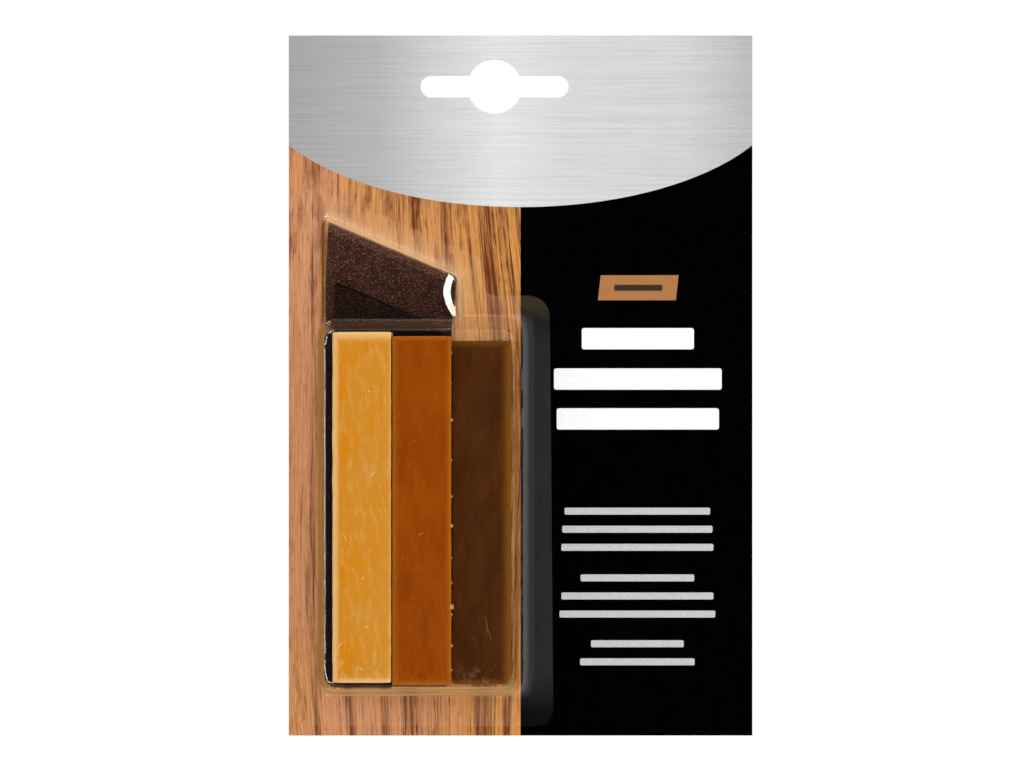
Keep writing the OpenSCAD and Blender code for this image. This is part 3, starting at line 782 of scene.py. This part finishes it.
def wax_bits(name, front, body, crumbs, curls, material):
    """Crumbs (x, z, radius) and thin curled shavings (x, z, radius, start and sweep in degrees) on a stick's
    front."""
    bm = bmesh.new()
    curl_r = 0.07
    for x, z, radius in crumbs:
        made = bmesh.ops.create_icosphere(bm, subdivisions=2, radius=radius)["verts"]
        for vert in made:
            vert.co *= 1 + 0.5 * wander(vert.co * 3, radius * 2, z)
        bmesh.ops.scale(bm, vec=(1, 0.6, 1.2), verts=made)
        bmesh.ops.translate(bm, vec=(x, front + radius * 0.6, z), verts=made)
    for x, z, radius, start, sweep in curls:
        ring = bmesh.ops.create_circle(bm, cap_ends=True, radius=curl_r, segments=6)["verts"]
        face = ring[0].link_faces[0]
        bmesh.ops.translate(bm, vec=(x + radius, front + 0.03, z), verts=ring)
        turn = Matrix.Rotation(math.radians(start), 3, "Y")
        bmesh.ops.rotate(bm, cent=(x, 0, z), matrix=turn, verts=ring)
        bmesh.ops.spin(bm, geom=[face], cent=(x, 0, z), axis=(0, 1, 0), angle=math.radians(sweep), steps=8)
    bmesh.ops.recalc_face_normals(bm, faces=bm.faces)
    dress(make_piece(name, bm, body), material)


# The scraper

def scraper():
    """A flat moulded body with a slanting bevelled blade and a shallow recess in its front."""
    bm = bmesh.new()
    left, right, low = scraper_low.x, scraper_high.x - BLADE_TIP, scraper_low.z
    front, back = scraper_low.y, scraper_high.y
    outline = [(left, low), (left, BLADE_TOP - SHOULDER_LEFT), (left + LEFT_LEAN, BLADE_TOP + 0.1),
               (right + BLADE_TIP, BLADE_TOP - BLADE_FALL), (right, BLADE_TOP - SHOULDER_RIGHT), (right, low)]
    verts = [bm.verts.new((x, front, z)) for x, z in outline]
    bm.faces.new(verts)
    bm.normal_update()
    bmesh.ops.bevel(bm, geom=[verts[0], verts[-1]], offset=SCRAPER_FOOT_R, affect="VERTICES",
                    segments=8, profile=0.5, material=-1)
    # Two lines along the blade, the bevel's and the recess's upper edge
    bevel_z, recess_z = [BLADE_TOP - depth / BLADE_COS for depth in (BLADE_BEVEL, RECESS_BELOW)]
    for z in (bevel_z, recess_z):
        cut(bm, (BLADE_X, 0, z), (BLADE_SLOPE, 0, 1))
    recess_left, recess_right, recess_low = left + RECESS_LEFT, right - RECESS_RIGHT, low + RECESS_FOOT

    def below(place):
        return place.z < blade_line(place.x, recess_z)

    cut_upright(bm, (recess_left, recess_right), below)
    cut_level(bm, (recess_low,), below)
    bm.normal_update()
    turn_forward(bm)
    middles = [(f, f.calc_center_median()) for f in bm.faces]
    floor = [f for f, c in middles if below(c) and recess_left < c.x < recess_right and c.z > recess_low]
    made = bmesh.ops.extrude_face_region(bm, geom=bm.faces[:])["geom"]
    for vert in (g for g in made if isinstance(g, bmesh.types.BMVert)):
        vert.co.y = back - BACK_GAP
    # The bevel thins the blade towards its edge
    for vert in bm.verts:
        if vert.co.z - blade_line(vert.co.x, BLADE_TOP) > -0.2 and vert.co.y < back - 1:
            vert.co.y = back - BLADE_THICKNESS
    bmesh.ops.recalc_face_normals(bm, faces=bm.faces)
    # The recess, with a sloping rim and round corners
    bmesh.ops.inset_region(bm, faces=floor, thickness=RECESS_RIM, use_even_offset=True)
    sunk = {v for f in floor for v in f.verts}
    bmesh.ops.translate(bm, vec=(0, RECESS_DEPTH, 0), verts=list(sunk))
    corners = [e for e in bm.edges if abs(span(e, 1) - RECESS_DEPTH) < 0.1]
    bmesh.ops.bevel(bm, geom=corners, offset=RECESS_R, affect="EDGES", segments=4, profile=0.5, material=-1)
    piece = make_piece("scraper_body", bm, "scraper", "scraper", smooth=False)
    soft = piece.modifiers.new("soft_edges", "BEVEL")
    soft.width = 0.16 * MM
    soft.segments = 2
    soft.limit_method = "ANGLE"
    soft.angle_limit = math.radians(12)
    dress(piece, scraper_plastic())


# Plain printed bars, each a film of ink on the card

def ink_bars(name, rows, radius, material):
    """Round-cornered bars (x, z, width, height). Half of the ink's thickness stands out from the card."""
    bm = bmesh.new()
    for x, z, width, height in rows:
        made = add_box(bm, (x, front_y, z), (width, INK, height))
        upright = list({e for v in made for e in v.link_edges if span(e, 1) > INK / 4})
        bmesh.ops.bevel(bm, geom=upright, offset=radius, affect="EDGES", segments=5, profile=0.5, material=-1)
    dress(make_piece(name, bm, "card", smooth=False), material)


# The card

dress(nodes["header_print"], brushed_print())
dress(nodes["wood_print"], oak_print())
dress(nodes["black_print"], black_ink())
dress(nodes["tag_print"], plain_print("copper_tone_print", "#A66D3A", "#B37A45"))
dress(nodes["card_board"], paper_board("grey_paper_core", "#BDB9AE", "#D6D3CA"))
dress(nodes["back_facing"], paper_board("white_paper_back", "#E9E7E1", "#F2F0EB"))

# Three wide bars and eight narrow ones in the middle of the black print: z and width of each
middle_x = (black_low.x + black_high.x) / 2
wide_bars = [(-54.4, 24.2), (-63.1, 36.2), (-71.7, 35.0)]
narrow_bars = [(-91.6, 31.4), (-95.5, 32.4), (-99.4, 32.8), (-106.0, 24.5), (-109.9, 32.8), (-113.8, 33.6),
               (-120.2, 20.0), (-124.1, 24.7)]
white_ink = plain_print("white_ink", "#F4F4F4", "#FFFFFF")
grey_ink = plain_print("grey_ink", "#B9B9B9", "#C9C9C9")
brown_ink = plain_print("brown_ink", "#33200F", "#3E2814")
ink_bars("title_bars", [(middle_x + 0.3, z, width, 4.6) for z, width in wide_bars], 0.5, white_ink)
ink_bars("text_bars", [(middle_x + 0.2, z, width, 1.5) for z, width in narrow_bars], 0.3, grey_ink)
tag_middle = (tag_low + tag_high) / 2
ink_bars("tag_bar", [(tag_middle.x, tag_middle.z, 10.4, 1.3)], 0.25, brown_ink)

# The lacquer under the flange. Its front moves to the middle of the CAD band and its back into the print, so
# that no two faces meet
seal = new_object("lacquer_film", nodes["seal_band"].data.copy())
bm = bmesh.new()
bm.from_mesh(seal.data)
bmesh.ops.remove_doubles(bm, verts=bm.verts, dist=1e-6)
film_front, film_back = (seal_low.y + seal_high.y) / 2, front_y + 0.03
for vert in bm.verts:
    vert.co.y = (film_back if vert.co.y / MM > seal_low.y + 0.02 else film_front) * MM
bm.to_mesh(seal.data)
bm.free()
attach(seal, "card")
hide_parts("seal_band")
dress(seal, seal_lacquer())
let_light_through(seal)

blister()
honey = wax("honey_wax", light_low, light_high, "#CB8B2E", "#D08200", "#F0CB8E", (1.9, 0.7, 1.6, 2.6),
            (0.9, 0.3, 0.7, 0.7), gloss=0.5, scuffs=0.3, slant=0.12)
wax_stick("light_wax", light_low, light_high, 0.9, 0.16, "light_stick", honey, 11)
chestnut = wax("chestnut_wax", medium_low, medium_high, "#944400", "#853900", "#BC701A", (1.6, 1.6, 1.6, 1.4),
               (0.35, 0.5, 0.5, 0.45), gloss=0.45, scuffs=0.2)
wax_stick("medium_wax", medium_low, medium_high, 0.14, 0.3, "medium_stick", chestnut, 23)
walnut = wax("walnut_wax", dark_low, dark_high, "#4B260A", "#3B1B04", "#845413", (0.5, 2.6, 1.6, 2.0),
             (0.2, 0.75, 0.5, 0.4), gloss=0.4, scuffs=0.16, bloom=0.32)
wax_stick("dark_wax", dark_low, dark_high, 0.3, 0.9, "dark_stick", walnut, 37)

light_crumbs = [(-33.1, -128.6, 0.16), (-28.4, -119.0, 0.12)]
light_curls = [(-32.6, -97.2, 1.2, 300, 80), (-31.5, -120.5, 1.6, 190, 55), (-27.2, -82.0, 2.0, 20, 40),
               (-29.0, -125.5, 1.3, 260, 70), (-33.0, -64.0, 0.9, 120, 60)]
wax_bits("light_shavings", light_low.y, "light_stick", light_crumbs, light_curls,
         wax_shaving("honey_wax_shaving", "#E2B468", "#F0CE92"))
# A row of crumbs stands along the medium stick's right edge, a few more lie on its front
edge_crumbs = [(-57.5, 0.2), (-64.1, 0.16), (-71.8, 0.28), (-80.3, 0.18), (-88.0, 0.22), (-94.2, 0.32),
               (-101.0, 0.18), (-106.3, 0.24), (-111.4, 0.5), (-113.0, 0.24), (-119.6, 0.3), (-124.8, 0.2)]
medium_crumbs = [(medium_high.x, z, radius) for z, radius in edge_crumbs] + [
    (-17.5, -109.5, 0.16), (-16.6, -70.2, 0.13), (-14.2, -112.6, 0.14), (-18.9, -86.0, 0.12),
    (-13.0, -123.0, 0.13)]
wax_bits("medium_crumbs", medium_low.y, "medium_stick", medium_crumbs, [(-16.0, -95.0, 1.1, 30, 60)],
         wax_shaving("chestnut_wax_crumb", "#B8681A", "#D6964A"))
dark_crumbs = [(-9.0, -125.0, 0.14), (-4.8, -72.0, 0.12)]
dark_curls = [(-6.5, -116.0, 5.0, 330, 45), (-5.9, -119.0, 5.2, 325, 30), (-3.0, -128.0, 0.9, 160, 60),
              (-7.0, -126.5, 0.8, 20, 90)]
wax_bits("dark_shavings", dark_low.y, "dark_stick", dark_crumbs, dark_curls,
         wax_shaving("walnut_wax_shaving", "#6A431E", "#8A6236"))
scraper()


# Studio

centre = Vector(((card_low.x + card_high.x) / 2, 0, (card_low.z + card_high.z) / 2)) * MM
WHITE = linear("#FFFFFF")


def soft_box(name, place, width, height, watts):
    """A lamp that faces the card's middle. Its place is counted from there, in metres like its size."""
    light = bpy.data.lights.new(name, "AREA")
    light.shape = "RECTANGLE"
    light.size, light.size_y, light.energy = width, height, watts
    obj = new_object(name, light)
    obj.location = centre + Vector(place)
    obj.rotation_euler = (-Vector(place)).to_track_quat("-Z", "Y").to_euler()
    return obj


# The broad lamps light the pack and the narrow one only glints on what is glossy
for lamp in (soft_box("front", (0.1, -1.1, 0.25), 0.9, 0.9, 6.0),
             soft_box("top", (0.05, -0.35, 0.8), 0.7, 0.35, 2.0),
             soft_box("fill_right", (0.8, -0.55, 0.1), 0.7, 0.7, 2.6),
             soft_box("fill_left", (-0.8, -0.7, 0.1), 0.7, 0.7, 1.4),
             soft_box("rear_fill", (0.5, 0.9, 0.5), 0.8, 0.8, 8.5)):
    lamp.visible_glossy = False
soft_box("strip_left", (-0.545, -0.355, -0.02), 0.24, 2.2, 23.0).visible_diffuse = False


def seen_straight(tree):
    """1 for what the camera sees, straight or through glass, and 0 for every other ray."""
    path = add(tree, "LightPath")
    return add(tree, "Math", {0: path.outputs["Is Camera Ray"], 1: path.outputs["Is Transmission Ray"]},
               operation="MAXIMUM")


world = bpy.data.worlds.new("studio")
bpy.context.scene.world = world
world.use_nodes = True
tree = world.node_tree
tree.nodes.clear()
# What glossy surfaces see: a white room, dim towards the side that the card faces and towards the left
toward = add(tree, "SeparateXYZ", {"Vector": add(tree, "TexCoord").outputs["Generated"]})
ahead = add(tree, "MapRange", {
    "Value": toward.outputs["Y"], "From Min": -1, "From Max": -0.35, "To Min": 0.01, "To Max": 1})
aside = add(tree, "Math", {0: toward.outputs["Z"], 1: 0.4, 2: toward.outputs["X"]}, operation="MULTIPLY_ADD")
side = add(tree, "MapRange", {"Value": aside, "From Min": -0.4, "From Max": 0.4, "To Min": 0.2, "To Max": 1})
room = add(tree, "Math", {0: ahead, 1: side}, operation="MULTIPLY")
light = add(tree, "Background", {"Color": WHITE, "Strength": 0.25})
gloss = add(tree, "Background", {"Color": room, "Strength": 1})
seen = add(tree, "Background", {"Color": WHITE, "Strength": 1})
mirrored = add(tree, "MixShader", {0: add(tree, "LightPath").outputs["Is Glossy Ray"], 1: light, 2: gloss})
whole = add(tree, "MixShader", {0: seen_straight(tree), 1: mirrored, 2: seen})
add(tree, "OutputWorld", {"Surface": whole})

# A white studio floor below the hanging card. It keeps the card's soft shadow, and its rim fades into the
# white behind it
FLOOR_R, FADE_START, FADE_END = 0.5, 0.12, 0.45
floor_middle = (centre.x, 0, -0.2)
bm = bmesh.new()
bmesh.ops.create_circle(bm, cap_ends=True, radius=FLOOR_R, segments=96)
bmesh.ops.translate(bm, vec=floor_middle, verts=bm.verts)
floor = mesh_object("studio_floor", bm)
material, tree, shader, place = new_material("white_studio_floor", Roughness=0.9, Specular_IOR_Level=0.0)
grain = add(tree, "TexNoise", {"Vector": place, "Scale": 0.01, "Detail": 2})
tone = add(tree, "ValToRGB", {"Fac": grain}, stops=[(0.3, "#E8E8E8"), (0.7, "#EBEBEB")])
tree.links.new(tone.outputs[0], shader.inputs["Base Color"])
seen = seen_straight(tree)
strength = add(tree, "Math", {0: seen, 1: 0.32}, operation="MULTIPLY")
lit = add(tree, "AddShader", {0: shader, 1: add(tree, "Emission", {"Color": WHITE, "Strength": strength})})
far = add(tree, "VectorMath", {0: add(tree, "TexCoord").outputs["Object"], 1: floor_middle},
          operation="DISTANCE")
fade = add(tree, "MapRange", {"Value": far.outputs["Value"], "From Min": FADE_START, "From Max": FADE_END},
           interpolation_type="SMOOTHSTEP")
fade = add(tree, "Math", {0: fade, 1: seen}, operation="MULTIPLY")
show(tree, add(tree, "MixShader", {0: fade, 1: lit, 2: add(tree, "BsdfTransparent")}))
dress(floor, material)
floor.visible_glossy = False

# The photograph looks straight at the card from 0.75 m. Its middle and its width in the card's plane, in mm
VIEW_X, VIEW_Z, VIEW_WIDTH, DISTANCE, SENSOR = 3.753, -64.17, 220.9, 750, 36
camera_data = bpy.data.cameras.new("camera")
camera_data.sensor_width = SENSOR
camera_data.lens = SENSOR * DISTANCE / VIEW_WIDTH
camera_data.clip_start = 0.01
camera = new_object("camera", camera_data)
camera.location = Vector((VIEW_X, front_y - DISTANCE, VIEW_Z)) * MM
camera.rotation_euler = (math.radians(90), 0, 0)
bpy.context.scene.camera = camera
bpy.context.scene.view_settings.view_transform = "Standard"
